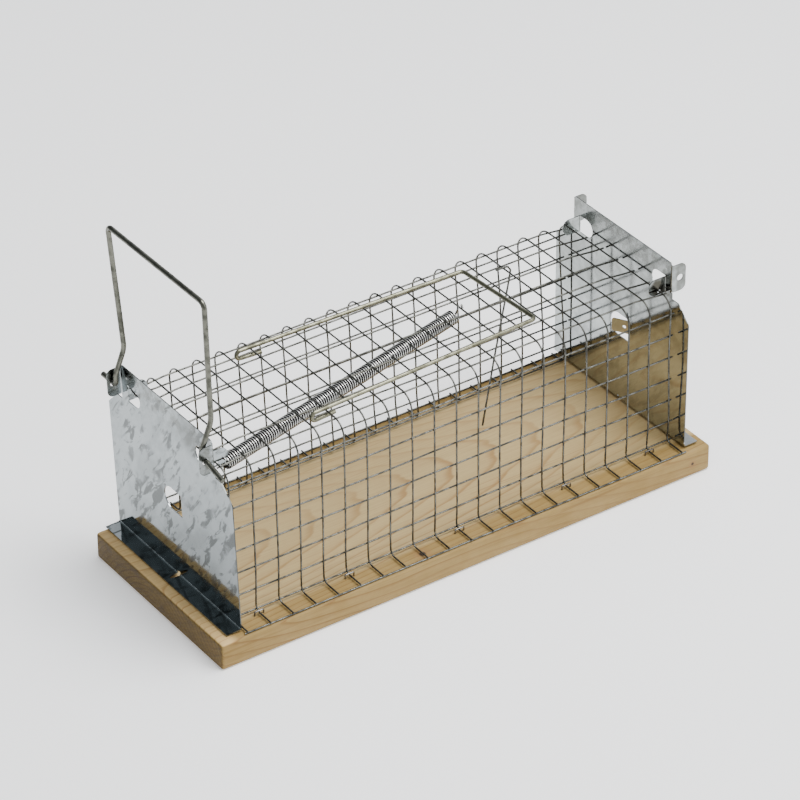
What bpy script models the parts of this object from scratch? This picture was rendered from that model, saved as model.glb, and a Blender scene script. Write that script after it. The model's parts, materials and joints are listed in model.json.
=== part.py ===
"""Live catch trap: a welded mesh tunnel on a pine board, a fixed sheet end plate, and a sprung
sheet door with a wire setting loop, a latch bar and a bait hook.

Metres, +Z up. The origin is the centre of the board's flat underside. +X runs from the door to the
fixed end plate, and -Y is the front. Most sizes hang from the pitch of the welded mesh.
"""
import math

import bmesh
import bpy
from mathutils import Matrix, Vector

# ---------------------------------------------------------------- driving dimensions
PITCH = 0.0127                   # half-inch welded mesh, hoop to hoop
HOOPS = 21                       # wires that run up, over and down
SIDE_ROWS = 6                    # long wires on each side, above the board
TOP_ROWS = 7                     # long wires on the top
MESH_WIRE = 0.0009
LOOP_WIRE = 0.0026
LATCH_WIRE = 0.0021
BAIT_WIRE = 0.0010
STAPLE_WIRE = 0.0008
SHEET = 0.0005                   # galvanised sheet of both end plates
GAP = 0.00035                    # smallest air gap between two pieces
HOOK_PLAY = 0.0003               # extra room inside the latch's hooks, on top of the gap
RING_PLAY = 0.0002               # and inside the bait hook's and the spring's
FOOT_PLAY = 0.0001               # and under the mesh's feet
NUDGE = 0.00005                  # keeps two faces that meet from lying in one plane

BOARD_SIZE = Vector((0.286, 0.1114, 0.0146))
BOARD_EDGE = 0.0022              # rounding of the board's edges
BOARD_TOP = BOARD_SIZE.z

CAGE_X0 = -10.08 * PITCH         # first hoop, which is also the door's hinge wire
CAGE_MID_Y = 0.0031              # the tunnel stands a little behind the board's centre line
CAGE_WIDTH = 7.15 * PITCH
CAGE_HEIGHT = 6.55 * PITCH       # board top to the axis of the end hoops' top wires
CAGE_CROWN = 0.15 * PITCH        # the top is bowed up by this much between the end hoops
CROWN_START = 0.75               # share of the bow reached one hoop in
BACK_LEAN = 0.28 * PITCH         # the back wall leans in this far at the board
SIDE_STEP = 0.978 * PITCH
FOOT_FRONT = 0.95 * PITCH
FOOT_BACK = 0.68 * PITCH
FOOT_Z = MESH_WIRE / 2 + GAP + FOOT_PLAY

PLATE_MID_Y = CAGE_MID_Y - 0.0009
PLATE_HALF = 4.2 * PITCH         # half-width of the lower part
PLATE_SHOULDER = -0.26 * PITCH   # height of the shoulders, measured from the hinge wire
PLATE_CHAMFER = 0.66 * PITCH
HEADER_HALF = 3.15 * PITCH
HEADER_TOP = 1.30 * PITCH
EAR_BOTTOM = 0.02 * PITCH
EAR_TOP = 1.20 * PITCH
EAR_LENGTH = 0.60 * PITCH
EAR_HOLE = Vector((0.33 * PITCH, 0.60 * PITCH))    # out from the plate, up from the hinge wire
EAR_HOLE_R = 0.0018
EAR_CORNER = 0.24 * PITCH
TAB_HALF_SPACING = 2.70 * PITCH
TAB_LENGTH = 0.80 * PITCH
TAB_HEIGHT = 0.70 * PITCH
TAB_CORNER = 0.31 * PITCH
TAB_MIDDLE = 0.22 * PITCH        # the tabs' middle, measured from the hinge wire
TAB_HINGE = 0.30 * PITCH         # plate's inner face to the hinge wire
TAB_HOLE_R = MESH_WIRE / 2 + 0.0006
TAB_CLEAR = 0.0003               # the lanced opening beyond its tab
TAB_SINK = 0.6 * SHEET           # how far a folded tab or ear is let into the plate
SPRING_HOLE = Vector((0.64 * PITCH, 0.10 * PITCH))
SPRING_HOLE_R = 0.0010
CENTRE_OPENING_Z = -3.05 * PITCH
CENTRE_OPENING_LENGTH = 1.15 * PITCH
CENTRE_OPENING_HEIGHT = 0.95 * PITCH
CENTRE_TAB_Z = -2.88 * PITCH
CENTRE_TAB_LENGTH = 0.75 * PITCH
CENTRE_TAB_HEIGHT = 0.58 * PITCH
CENTRE_TAB_CORNER = 0.10 * PITCH
CENTRE_TAB_TURN = math.radians(30.0)    # how far the tab is bent in from the plate
CENTRE_HOLE_AT = 0.22 * PITCH    # its small hole, out from the fold
CENTRE_HOLE_R = 0.0009
FLANGE_LENGTH = 0.62 * PITCH
SLOT_HALF_LENGTH = 0.0052        # slot in the bend, running out across the flange
SLOT_HALF_WIDTH = 0.0012
SLOT_HEIGHT = 0.0020             # how far it runs up the plate
PLATE_LIFT = 0.0009              # flange's underside above the board
PLATE_BOTTOM = -CAGE_HEIGHT + PLATE_LIFT
DOOR_LEAN = math.radians(2.0)    # the shut door leans out at the top, off its hinge tabs

LOOP_REACH = 7.20 * PITCH        # hinge wire up to the loop's crossbar
LOOP_HALF_LOW = 2.93 * PITCH
LOOP_HALF_HIGH = 3.20 * PITCH
LOOP_BACK_STUB = 0.70 * PITCH    # wire beyond each ear
LOOP_FRONT_STUB = 1.10 * PITCH
LOOP_STUB_BEND = 0.15 * PITCH    # the front stub is bent down just past its ear
LOOP_STUB_DROP = 0.22 * PITCH
LOOP_KNEE = Vector((-0.28 * PITCH, 0.0, 2.05 * PITCH))    # bend in each leg, from the hinge wire
LOOP_BAR_OUT = -0.55 * PITCH
LOOP_FOOT_RISE = 0.45 * PITCH    # straight start of each leg, above the ear hole
LOOP_CORNER = 0.0021

LATCH_HOOP = 5
LATCH_HALF_HOOK = 2.52 * PITCH
LATCH_HALF_BAR = 2.17 * PITCH
LATCH_BAR_X = 9.50 * PITCH       # hook wire to the middle of the latch's crossbar
LATCH_SKEW = 0.14 * PITCH        # the crossbar's front end is further along by twice this
LATCH_RISE = 0.10 * PITCH
LATCH_EYE = 0.70 * PITCH         # how far each hook reaches past its hoop wire
LATCH_EYE_SHOULDER = 0.80 * LATCH_EYE
LATCH_END = 0.15 * PITCH
LATCH_CORNER = 0.0011

BAIT_HOOP = 16
BAIT_Y = 5.20 * PITCH            # from the tunnel's front side
BAIT_TAIL = -0.45 * PITCH        # the hook's end over its hoop wire
BAIT_BENDS = (Vector((0.24, 0.0, -0.08)), Vector((0.12, 0.0, -0.77)), Vector((-0.62, -0.15, -3.75)))
BAIT_TIP = Vector((-1.35, -0.42, -6.42))    # in pitches from its hoop wire, as the bends are
BAIT_START_X = 0.10
BAIT_CORNER = 0.0012

SPRING_OUTER = 0.0076
SPRING_WIRE = 0.0008
SPRING_TURNS = 42
SPRING_HOOP = 13
SPRING_FAR_Y = 4.0 * PITCH
SPRING_NEAR = Vector((0.62 * PITCH, 1.22 * PITCH, -0.47 * PITCH))    # first turn, from the tunnel's corner
SPRING_FAR = Vector((-0.15 * PITCH, 0.23 * PITCH, -0.46 * PITCH))   # last turn, from its hoop wire
SPRING_TURN_SIDES = 6
SPRING_LEAD = 0.0015             # straight wire between the coil and each end hook
SPRING_HOOK = ((-1.0, -0.4), (-0.5, 1.0), (1.0, 0.4), (0.8, -1.0))    # far hook's bends, X and Z in lifts

STAPLED_HOOPS = (1, 5, 10, 15, 19)
STAPLE_CROWN = 0.0050
STAPLE_LEG = 0.0060
STAPLE_STEP_OUT = 0.20 * PITCH   # crown to the mesh's fold
STAPLE_CORNER = 0.0006
NAIL_HEAD_R = 0.0013
NAIL_HEAD_TOP_R = 0.00104
NAIL_SHANK_R = 0.0005
NAIL_TIP_R = 0.0002
NAIL_OUT = 0.0014                # nail to the rear plate's outer face
NAIL_LENGTH = 0.0100
NAIL_HEAD_HEIGHT = 0.0008
DRILL_OVER = 0.002               # how far a drill starts above the board

FRONT_Y = CAGE_MID_Y - CAGE_WIDTH / 2
BACK_Y = CAGE_MID_Y + CAGE_WIDTH / 2
BACK_FOLD_Y = BACK_Y - BACK_LEAN
HINGE_Z = BOARD_TOP + CAGE_HEIGHT

# ---------------------------------------------------------------- scene, collections, materials
for old in list(bpy.data.objects):
    bpy.data.objects.remove(old)

PARTS = bpy.data.collections.new("live_catch_trap")
CUTTERS = bpy.data.collections.new("cutters")
bpy.context.scene.collection.children.link(PARTS)
bpy.context.scene.collection.children.link(CUTTERS)


def make_material(name, colour, metallic, roughness):
    material = bpy.data.materials.new(name)
    material.use_nodes = True
    shader = material.node_tree.nodes["Principled BSDF"]
    shader.inputs["Base Color"].default_value = (*colour, 1.0)
    shader.inputs["Metallic"].default_value = metallic
    shader.inputs["Roughness"].default_value = roughness
    return material


def place(obj, material=None, parent=None):
    """Link an object to the parts, with its material and its parent empty."""
    for holder in list(obj.users_collection):
        holder.objects.unlink(obj)
    PARTS.objects.link(obj)
    if material and obj.data:
        obj.data.materials.clear()
        obj.data.materials.append(material)
    if parent:
        obj.parent = parent
    return obj


def place_cutter(obj):
    for holder in list(obj.users_collection):
        holder.objects.unlink(obj)
    CUTTERS.objects.link(obj)
    obj.hide_render = True
    obj.display_type = "WIRE"
    return obj


def empty(name, location, turn_y=0.0, turn_z=0.0):
    obj = bpy.data.objects.new(name, None)
    obj.location = location
    obj.rotation_euler = (0.0, turn_y, turn_z)
    PARTS.objects.link(obj)
    return obj


def hoop_x(index):
    return CAGE_X0 + index * PITCH


def on_top(index, y):
    """A point on the top wire of one hoop."""
    return Vector((hoop_x(index), y, HINGE_Z + crown(index)))


def crown(index):
    """How far the top is bowed up at one hoop; the plates' tabs hold the end hoops down."""
    from_end = min(index, HOOPS - 1 - index)
    return CAGE_CROWN * min(1.0, CROWN_START * from_end)


# ---------------------------------------------------------------- shape helpers
def arc(centre, radius, start, end, steps):
    """Points of a flat arc, angles in degrees."""
    points = []
    for step in range(steps + 1):
        angle = math.radians(start + (end - start) * step / steps)
        points.append((centre[0] + radius * math.cos(angle), centre[1] + radius * math.sin(angle)))
    return points


def rounded(points, radius, steps=3):
    """A 3D path with each inner corner turned on a small radius."""
    path = [Vector(points[0])]
    for before, corner, after in zip(points, points[1:], points[2:]):
        corner = Vector(corner)
        back = (Vector(before) - corner).normalized()
        ahead = (Vector(after) - corner).normalized()
        half_angle = back.angle(ahead) / 2
        reach = radius / math.tan(half_angle)
        centre = corner + (back + ahead).normalized() * radius / math.sin(half_angle)
        first = (corner + back * reach - centre).normalized()
        last = (corner + ahead * reach - centre).normalized()
        for step in range(steps + 1):
            path.append(centre + radius * first.slerp(last, step / steps))
    path.append(Vector(points[-1]))
    return path


def wire(name, path, diameter, material, parent=None, resolution=1):
    """A round wire as a poly curve with filled ends."""
    curve = bpy.data.curves.new(name, "CURVE")
    curve.dimensions = "3D"
    curve.bevel_depth = diameter / 2
    curve.bevel_resolution = resolution
    curve.use_fill_caps = True
    spline = curve.splines.new("POLY")
    spline.points.add(len(path) - 1)
    for point, position in zip(spline.points, path):
        point.co = (*position, 1.0)
    return place(bpy.data.objects.new(name, curve), material, parent)


def flat_mesh(name, outlines, thickness, frame):
    """A flat sheet from closed 2D outlines (later ones are holes), as a mesh, turned by frame."""
    curve = bpy.data.curves.new(name, "CURVE")
    curve.dimensions = "2D"
    curve.fill_mode = "BOTH"
    curve.extrude = thickness / 2
    for outline in outlines:
        spline = curve.splines.new("POLY")
        spline.points.add(len(outline) - 1)
        spline.use_cyclic_u = True
        for point, position in zip(spline.points, outline):
            point.co = (position[0], position[1], 0.0, 1.0)
    guide = bpy.data.objects.new(name, curve)
    bpy.context.scene.collection.objects.link(guide)
    depsgraph = bpy.context.evaluated_depsgraph_get()
    mesh = bpy.data.meshes.new_from_object(guide.evaluated_get(depsgraph))
    bpy.data.objects.remove(guide)
    mesh.transform(frame)
    clean_mesh(mesh)
    return bpy.data.objects.new(name, mesh)


def clean_mesh(mesh):
    """Weld loose caps, and turn every face outwards."""
    shape = bmesh.new()
    shape.from_mesh(mesh)
    bmesh.ops.remove_doubles(shape, verts=shape.verts, dist=0.00001)
    bmesh.ops.recalc_face_normals(shape, faces=shape.faces)
    shape.to_mesh(mesh)
    shape.free()


def primitive_box(name, centre, size):
    shape = bmesh.new()
    bmesh.ops.create_cube(shape, size=1.0, matrix=Matrix.Translation(centre) @ Matrix.Diagonal((*size, 1.0)))
    mesh = bpy.data.meshes.new(name)
    shape.to_mesh(mesh)
    shape.free()
    return bpy.data.objects.new(name, mesh)


def primitive_rod(name, centre, radius, length, sides, radius_top=None):
    """A cylinder or cone on the Z axis."""
    shape = bmesh.new()
    top = radius if radius_top is None else radius_top
    bmesh.ops.create_cone(shape, cap_ends=True, segments=sides, radius1=radius, radius2=top, depth=length,
                          matrix=Matrix.Translation(centre))
    mesh = bpy.data.meshes.new(name)
    shape.to_mesh(mesh)
    shape.free()
    return bpy.data.objects.new(name, mesh)


def boolean(target, other, operation):
    """An exact Boolean on the target, with the other object kept as a cutter."""
    place_cutter(other)
    other.parent = target.parent
    modifier = target.modifiers.new(other.name, "BOOLEAN")
    modifier.object = other
    modifier.operation = operation
    modifier.solver = "EXACT"


# Frames that stand a flat outline up: outline x, y become the plate's Y, Z, or the tab's X, Z.
STAND_ACROSS = Matrix(((0, 0, 1, 0), (1, 0, 0, 0), (0, 1, 0, 0), (0, 0, 0, 1)))
STAND_ALONG = Matrix(((1, 0, 0, 0), (0, 0, -1, 0), (0, 1, 0, 0), (0, 0, 0, 1)))


# ---------------------------------------------------------------- board
def staple_places():
    """Hoop index, side sign and the Y of each staple's crown, just outside the fold wire."""
    for hoop in STAPLED_HOOPS:
        yield hoop, "front", FRONT_Y - STAPLE_STEP_OUT
        yield hoop, "back", BACK_FOLD_Y + STAPLE_STEP_OUT


def nail_place():
    plate_x = hoop_x(HOOPS - 1) + TAB_HINGE + SHEET
    return Vector((plate_x + NAIL_OUT, PLATE_MID_Y, BOARD_TOP))


def build_board():
    centre = Vector((0.0, 0.0, BOARD_TOP / 2))
    board = place(primitive_box("base_board", centre, BOARD_SIZE), PINE)
    bevel = board.modifiers.new("edges", "BEVEL")
    bevel.width = BOARD_EDGE
    bevel.segments = 2
    bevel.limit_method = "ANGLE"
    hole = STAPLE_WIRE + 2 * GAP
    depth = STAPLE_LEG + GAP
    for hoop, side, y in staple_places():
        for end in (-1, 1):
            x = hoop_x(hoop) + end * STAPLE_CROWN / 2
            at = Vector((x, y, BOARD_TOP - depth / 2 + DRILL_OVER / 2))
            name = "staple_hole_%s_%d_%s" % (side, hoop, "a" if end < 0 else "b")
            boolean(board, primitive_box(name, at, Vector((hole, hole, depth + DRILL_OVER))), "DIFFERENCE")
    at = nail_place()
    at.z = BOARD_TOP - NAIL_LENGTH / 2 + DRILL_OVER / 2
    drill = primitive_rod("nail_hole", at, NAIL_SHANK_R + GAP, NAIL_LENGTH + 2 * DRILL_OVER, 8)
    boolean(board, drill, "DIFFERENCE")


# ---------------------------------------------------------------- mesh tunnel
def cage_section():
    """The hoop's bends, front foot to back foot, one point for each long wire."""
    section = [(FRONT_Y - FOOT_FRONT, FOOT_Z), (FRONT_Y, FOOT_Z)]
    section += [(FRONT_Y, row * SIDE_STEP) for row in range(1, SIDE_ROWS + 1)]
    first = CAGE_MID_Y - (TOP_ROWS - 1) / 2 * PITCH
    section += [(first + row * PITCH, CAGE_HEIGHT) for row in range(TOP_ROWS)]
    for row in range(SIDE_ROWS, 0, -1):
        section.append((BACK_Y - BACK_LEAN * (1 - row / SIDE_ROWS), row * SIDE_STEP))
    section += [(BACK_FOLD_Y, FOOT_Z), (BACK_FOLD_Y + FOOT_BACK, FOOT_Z)]
    return section


def build_cage():
    """One sheet of welded mesh: a bent grid whose every edge becomes a wire."""
    section = cage_section()
    shape = bmesh.new()
    bmesh.ops.create_grid(shape, x_segments=HOOPS - 1, y_segments=len(section) - 1, size=0.5)
    for vert in shape.verts:
        hoop = round((vert.co.x + 0.5) * (HOOPS - 1))
        row = round((vert.co.y + 0.5) * (len(section) - 1))
        y, z = section[row]
        rise = crown(hoop) if z == CAGE_HEIGHT else 0.0
        vert.co = (hoop_x(hoop), y, BOARD_TOP + z + rise)
    mesh = bpy.data.meshes.new("cage_mesh")
    shape.to_mesh(mesh)
    shape.free()
    cage = place(bpy.data.objects.new("cage_mesh", mesh), ZINC_WIRE)
    wires = cage.modifiers.new("wires", "WIREFRAME")
    wires.thickness = MESH_WIRE
    wires.use_even_offset = False
    wires.use_replace = True
    wires.use_boundary = True


# ---------------------------------------------------------------- end plates
def panel_outline():
    low = PLATE_BOTTOM
    shoulder = PLATE_SHOULDER
    chamfer = PLATE_CHAMFER
    right = [(PLATE_HALF, low), (PLATE_HALF, shoulder - chamfer), (PLATE_HALF - chamfer, shoulder),
             (HEADER_HALF, shoulder), (HEADER_HALF, HEADER_TOP)]
    return right + [(-y, z) for y, z in reversed(right)]


def tab_opening(root, toward, height, length, middle):
    """The hole that a lanced tab leaves: straight at its fold, round at its end."""
    reach = length + TAB_CLEAR
    half = height / 2 + TAB_CLEAR
    end = arc((reach - half, 0.0), half, -90, 90, 6)
    outline = [(0.0, -half)] + end + [(0.0, half)]
    return [(root + toward * along, middle + up) for along, up in outline]


def tab_outline(start, tip, height, corner, holes):
    """A folded tab seen from the side, with round holes; it starts inside the plate's sheet."""
    half = height / 2
    body = [(start, -half)] + arc((tip - corner, corner - half), corner, -90, 0, 3)
    body += arc((tip - corner, half - corner), corner, 0, 90, 3) + [(start, half)]
    return [body] + [arc(centre, radius, 0, 330, 11) for centre, radius in holes]


def ear_outline():
    inner = -TAB_HINGE - SHEET / 2
    outer = -TAB_HINGE - SHEET - EAR_LENGTH
    centre_x = outer + EAR_CORNER
    edge = [(inner, EAR_BOTTOM), (inner, EAR_TOP)]
    edge += arc((centre_x, EAR_TOP - EAR_CORNER), EAR_CORNER, 90, 180, 3)
    edge += arc((centre_x, EAR_BOTTOM + EAR_CORNER), EAR_CORNER, 180, 270, 3)
    hole = arc((-TAB_HINGE - SHEET - EAR_HOLE.x, EAR_HOLE.y), EAR_HOLE_R, 0, 330, 11)
    return [edge, hole]


def build_end_plate(name, parent, spring_tab, centre_fold):
    """A stamped plate. Its origin is on the hinge wire, +X points into the tunnel.

    centre_fold is the side, -1 or 1, of the centre tab's fold.
    """
    face = Matrix.Translation((-TAB_HINGE - SHEET / 2, 0.0, 0.0)) @ STAND_ACROSS
    plate = place(flat_mesh(name, [panel_outline()], SHEET, face), SHEET_METAL, parent)
    openings = [tab_opening(side * TAB_HALF_SPACING, -side, TAB_HEIGHT, TAB_LENGTH, TAB_MIDDLE)
                for side in (-1, 1)]
    fold_y = centre_fold * CENTRE_OPENING_LENGTH / 2
    openings.append(tab_opening(fold_y, -centre_fold, CENTRE_OPENING_HEIGHT, CENTRE_OPENING_LENGTH,
                                CENTRE_OPENING_Z))
    for opening in openings:
        boolean(plate, flat_mesh(name + "_opening", [opening], 4 * SHEET, face), "DIFFERENCE")

    for side, word in ((-1, "front"), (1, "back")):
        holes = [((0.0, -TAB_MIDDLE), TAB_HOLE_R)]
        if spring_tab == word:
            holes.append((SPRING_HOLE - Vector((TAB_HINGE, TAB_MIDDLE)), SPRING_HOLE_R))
        at = Matrix.Translation((0.0, side * (TAB_HALF_SPACING + TAB_SINK), TAB_MIDDLE)) @ STAND_ALONG
        tip = -TAB_HINGE + TAB_LENGTH
        outline = tab_outline(-TAB_HINGE - TAB_SINK, tip, TAB_HEIGHT, TAB_CORNER, holes)
        tab = flat_mesh("%s_%s_tab" % (name, word), outline, SHEET, at)
        boolean(plate, tab, "UNION")
        at = Matrix.Translation((0.0, side * (HEADER_HALF - SHEET / 2 - NUDGE), 0.0)) @ STAND_ALONG
        boolean(plate, flat_mesh("%s_%s_ear" % (name, word), ear_outline(), SHEET, at), "UNION")

    centre_hole = ((CENTRE_HOLE_AT, 0.0), CENTRE_HOLE_R)
    centre_tab = tab_outline(0.0, CENTRE_TAB_LENGTH, CENTRE_TAB_HEIGHT, CENTRE_TAB_CORNER, [centre_hole])
    turn = Matrix.Rotation(-centre_fold * (math.pi / 2 - CENTRE_TAB_TURN), 4, "Z")
    root = Vector((-TAB_HINGE - SHEET / 2, fold_y + centre_fold * TAB_SINK, CENTRE_TAB_Z))
    at = Matrix.Translation(root) @ turn @ STAND_ALONG
    boolean(plate, flat_mesh(name + "_centre_tab", centre_tab, SHEET, at), "UNION")

    length = FLANGE_LENGTH + SHEET / 2
    middle = Vector((-TAB_HINGE - SHEET / 2 - length / 2, 0.0, PLATE_BOTTOM + SHEET / 2 + NUDGE))
    flange = primitive_box(name + "_flange", middle, Vector((length, 2 * PLATE_HALF - 4 * NUDGE, SHEET)))
    boolean(plate, flange, "UNION")

    slot = primitive_rod(name + "_slot", Vector((0, 0, 0)), SLOT_HALF_WIDTH, 2 * SLOT_HEIGHT, 12)
    slot.data.transform(Matrix.Diagonal((SLOT_HALF_LENGTH / SLOT_HALF_WIDTH, 1.0, 1.0, 1.0)))
    slot.location = (-TAB_HINGE - SHEET, 0.0, PLATE_BOTTOM)
    boolean(plate, slot, "DIFFERENCE")
    return plate


# ---------------------------------------------------------------- door's setting loop
def ear_hole_world():
    """The loop's pivot at rest, with the door's lean."""
    hole = Vector((-TAB_HINGE - SHEET - EAR_HOLE.x, 0.0, EAR_HOLE.y))
    hole.rotate(Matrix.Rotation(-DOOR_LEAN, 3, "Y"))
    return Vector((CAGE_X0, PLATE_MID_Y, HINGE_Z)) + hole


def build_loop(parent):
    pivot = ear_hole_world()
    from_hinge = Vector((CAGE_X0, PLATE_MID_Y, HINGE_Z)) - pivot
    knee = from_hinge + LOOP_KNEE
    bar = from_hinge + Vector((LOOP_BAR_OUT, 0.0, LOOP_REACH))
    back = [Vector((0.0, HEADER_HALF + LOOP_BACK_STUB, 0.0)),
            Vector((0.0, LOOP_HALF_LOW, 0.0)),
            Vector((0.0, LOOP_HALF_LOW, LOOP_FOOT_RISE)),
            Vector((knee.x, LOOP_HALF_LOW, knee.z)),
            Vector((bar.x, LOOP_HALF_HIGH, bar.z))]
    front = [Vector((point.x, -point.y, point.z)) for point in reversed(back)]
    path = back + front
    path[-1] = Vector((0.0, -HEADER_HALF - LOOP_STUB_BEND, 0.0))
    path.append(Vector((0.0, -HEADER_HALF - LOOP_FRONT_STUB, -LOOP_STUB_DROP)))
    wire("door_loop", rounded(path, LOOP_CORNER), LOOP_WIRE, LOOP_METAL, parent)


# ---------------------------------------------------------------- latch, bait hook, spring
def build_latch(parent):
    """A U of wire with a hook at each end, caught round one hoop wire, flat on the tunnel."""
    clear = MESH_WIRE / 2 + GAP + LATCH_WIRE / 2 + HOOK_PLAY
    half = LATCH_HALF_HOOK
    back = [Vector((LATCH_END, half, -clear)),
            Vector((-LATCH_EYE_SHOULDER, half, -clear)),
            Vector((-LATCH_EYE, half, 0.0)),
            Vector((-LATCH_EYE_SHOULDER, half, clear)),
            Vector((LATCH_BAR_X, LATCH_HALF_BAR, clear + LATCH_RISE))]
    front = [Vector((point.x, -point.y, point.z)) for point in reversed(back)]
    back[-1].x -= LATCH_SKEW
    front[0].x += LATCH_SKEW
    wire("latch_wire", rounded(back + front, LATCH_CORNER), LATCH_WIRE, LATCH_METAL, parent)


def build_bait_hook(parent):
    """A thin wire hooked over one hoop wire, hanging down inside the tunnel."""
    ring = MESH_WIRE / 2 + GAP + BAIT_WIRE / 2 + RING_PLAY
    path = [Vector((BAIT_TAIL, 0.0, ring + RING_PLAY)), Vector((BAIT_START_X * PITCH, 0.0, ring))]
    path += [bend * PITCH for bend in (*BAIT_BENDS, BAIT_TIP)]
    wire("bait_hook", rounded(path, BAIT_CORNER, 2), BAIT_WIRE, ZINC_WIRE, parent)


def spring_ends():
    """Centre of the spring's first and last turn."""
    near = Vector((CAGE_X0, FRONT_Y, HINGE_Z)) + SPRING_NEAR
    far = on_top(SPRING_HOOP, FRONT_Y + SPRING_FAR_Y) + SPRING_FAR
    return near, far


def build_spring():
    """A long tension spring under the mesh top, from the door's front tab to a hoop wire."""
    near, far = spring_ends()
    along = (far - near).normalized()
    side = along.cross(Vector((0, 0, 1))).normalized()
    up = side.cross(along)
    radius = (SPRING_OUTER - SPRING_WIRE) / 2
    steps = SPRING_TURNS * SPRING_TURN_SIDES

    tab_y = PLATE_MID_Y - TAB_HALF_SPACING - SHEET / 2
    hole = Vector((CAGE_X0 + SPRING_HOLE.x - TAB_HINGE, tab_y, HINGE_Z + SPRING_HOLE.y))
    anchor = far - SPRING_FAR
    lift = MESH_WIRE / 2 + GAP + SPRING_WIRE / 2 + RING_PLAY
    through = Vector((0.0, SHEET / 2 + GAP + SPRING_WIRE, 0.0))    # half the hook's way through the tab

    path = [hole - through, hole + through, near - along * SPRING_LEAD]
    for step in range(steps + 1):
        angle = 2 * math.pi * step / SPRING_TURN_SIDES
        centre = near.lerp(far, step / steps)
        path.append(centre + radius * (math.cos(angle) * side + math.sin(angle) * up))
    path.append(far + along * SPRING_LEAD)
    path += [anchor + Vector((x * lift, 0.0, z * lift)) for x, z in SPRING_HOOK]
    wire("door_spring", path, SPRING_WIRE, ZINC_WIRE, resolution=0)


# ---------------------------------------------------------------- fasteners
def build_staples():
    top = BOARD_TOP + FOOT_Z + MESH_WIRE / 2 + GAP + STAPLE_WIRE / 2
    bottom = BOARD_TOP - STAPLE_LEG + GAP
    for hoop, side, y in staple_places():
        x = hoop_x(hoop)
        left = x - STAPLE_CROWN / 2
        right = x + STAPLE_CROWN / 2
        path = [Vector((left, y, bottom)), Vector((left, y, top)), Vector((right, y, top)),
                Vector((right, y, bottom))]
        name = "staple_%s_%02d" % (side, hoop)
        wire(name, rounded(path, STAPLE_CORNER, 1), STAPLE_WIRE, STAPLE_METAL, resolution=0)


def build_nail():
    at = nail_place()
    head_base = PLATE_LIFT + SHEET + GAP
    shank = at + Vector((0.0, 0.0, head_base + NAIL_HEAD_HEIGHT / 4 - NAIL_LENGTH / 2))
    nail = place(primitive_rod("rear_plate_nail", shank, NAIL_TIP_R, NAIL_LENGTH, 8, NAIL_SHANK_R),
                 STAPLE_METAL)
    head_at = at + Vector((0.0, 0.0, head_base + NAIL_HEAD_HEIGHT / 2))
    head = primitive_rod("nail_head", head_at, NAIL_HEAD_R, NAIL_HEAD_HEIGHT, 12, NAIL_HEAD_TOP_R)
    boolean(nail, head, "UNION")


# ---------------------------------------------------------------- build
PINE = make_material("pine", (0.72, 0.54, 0.35), 0.0, 0.6)
SHEET_METAL = make_material("galvanised_sheet", (0.60, 0.65, 0.67), 1.0, 0.35)
ZINC_WIRE = make_material("galvanised_wire", (0.40, 0.42, 0.42), 1.0, 0.4)
LOOP_METAL = make_material("loop_steel", (0.34, 0.35, 0.32), 1.0, 0.4)
LATCH_METAL = make_material("zinc_latch", (0.58, 0.58, 0.48), 1.0, 0.35)
STAPLE_METAL = make_material("fastener_steel", (0.50, 0.51, 0.52), 1.0, 0.4)

build_board()
build_cage()

door_hinge = empty("door_hinge", (CAGE_X0, PLATE_MID_Y, HINGE_Z), turn_y=-DOOR_LEAN)
build_end_plate("door_plate", door_hinge, "front", -1)
rear_seat = empty("rear_seat", (hoop_x(HOOPS - 1), PLATE_MID_Y, HINGE_Z), turn_z=math.pi)
build_end_plate("rear_plate", rear_seat, "none", 1)

loop_pivot = empty("loop_pivot", ear_hole_world())
build_loop(loop_pivot)
latch_pivot = empty("latch_pivot", on_top(LATCH_HOOP, CAGE_MID_Y))
build_latch(latch_pivot)
bait_pivot = empty("bait_pivot", on_top(BAIT_HOOP, FRONT_Y + BAIT_Y))
build_bait_hook(bait_pivot)

build_spring()
build_staples()
build_nail()
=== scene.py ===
import json
import math
import random

import bmesh
import bpy
from mathutils import Matrix, Vector, noise


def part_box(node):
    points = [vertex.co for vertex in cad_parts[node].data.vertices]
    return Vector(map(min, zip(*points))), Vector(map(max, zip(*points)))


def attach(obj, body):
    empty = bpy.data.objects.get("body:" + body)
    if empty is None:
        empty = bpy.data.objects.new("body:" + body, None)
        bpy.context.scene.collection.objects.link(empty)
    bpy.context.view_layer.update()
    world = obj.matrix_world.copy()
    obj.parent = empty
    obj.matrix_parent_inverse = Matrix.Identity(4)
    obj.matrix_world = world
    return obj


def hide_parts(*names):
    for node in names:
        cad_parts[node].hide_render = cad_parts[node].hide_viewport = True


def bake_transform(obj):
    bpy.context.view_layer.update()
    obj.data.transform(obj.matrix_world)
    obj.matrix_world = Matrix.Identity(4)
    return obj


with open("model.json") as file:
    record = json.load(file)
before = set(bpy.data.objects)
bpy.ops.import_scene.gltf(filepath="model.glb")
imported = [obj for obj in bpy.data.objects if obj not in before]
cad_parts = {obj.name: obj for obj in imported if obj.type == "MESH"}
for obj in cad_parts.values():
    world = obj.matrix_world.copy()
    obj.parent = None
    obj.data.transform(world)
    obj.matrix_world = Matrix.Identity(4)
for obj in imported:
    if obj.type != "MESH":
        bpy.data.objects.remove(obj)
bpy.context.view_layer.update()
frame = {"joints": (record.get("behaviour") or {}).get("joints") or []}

SEED = 7
noise.seed_set(SEED)    # or noise_vector takes its offsets from the clock

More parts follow.
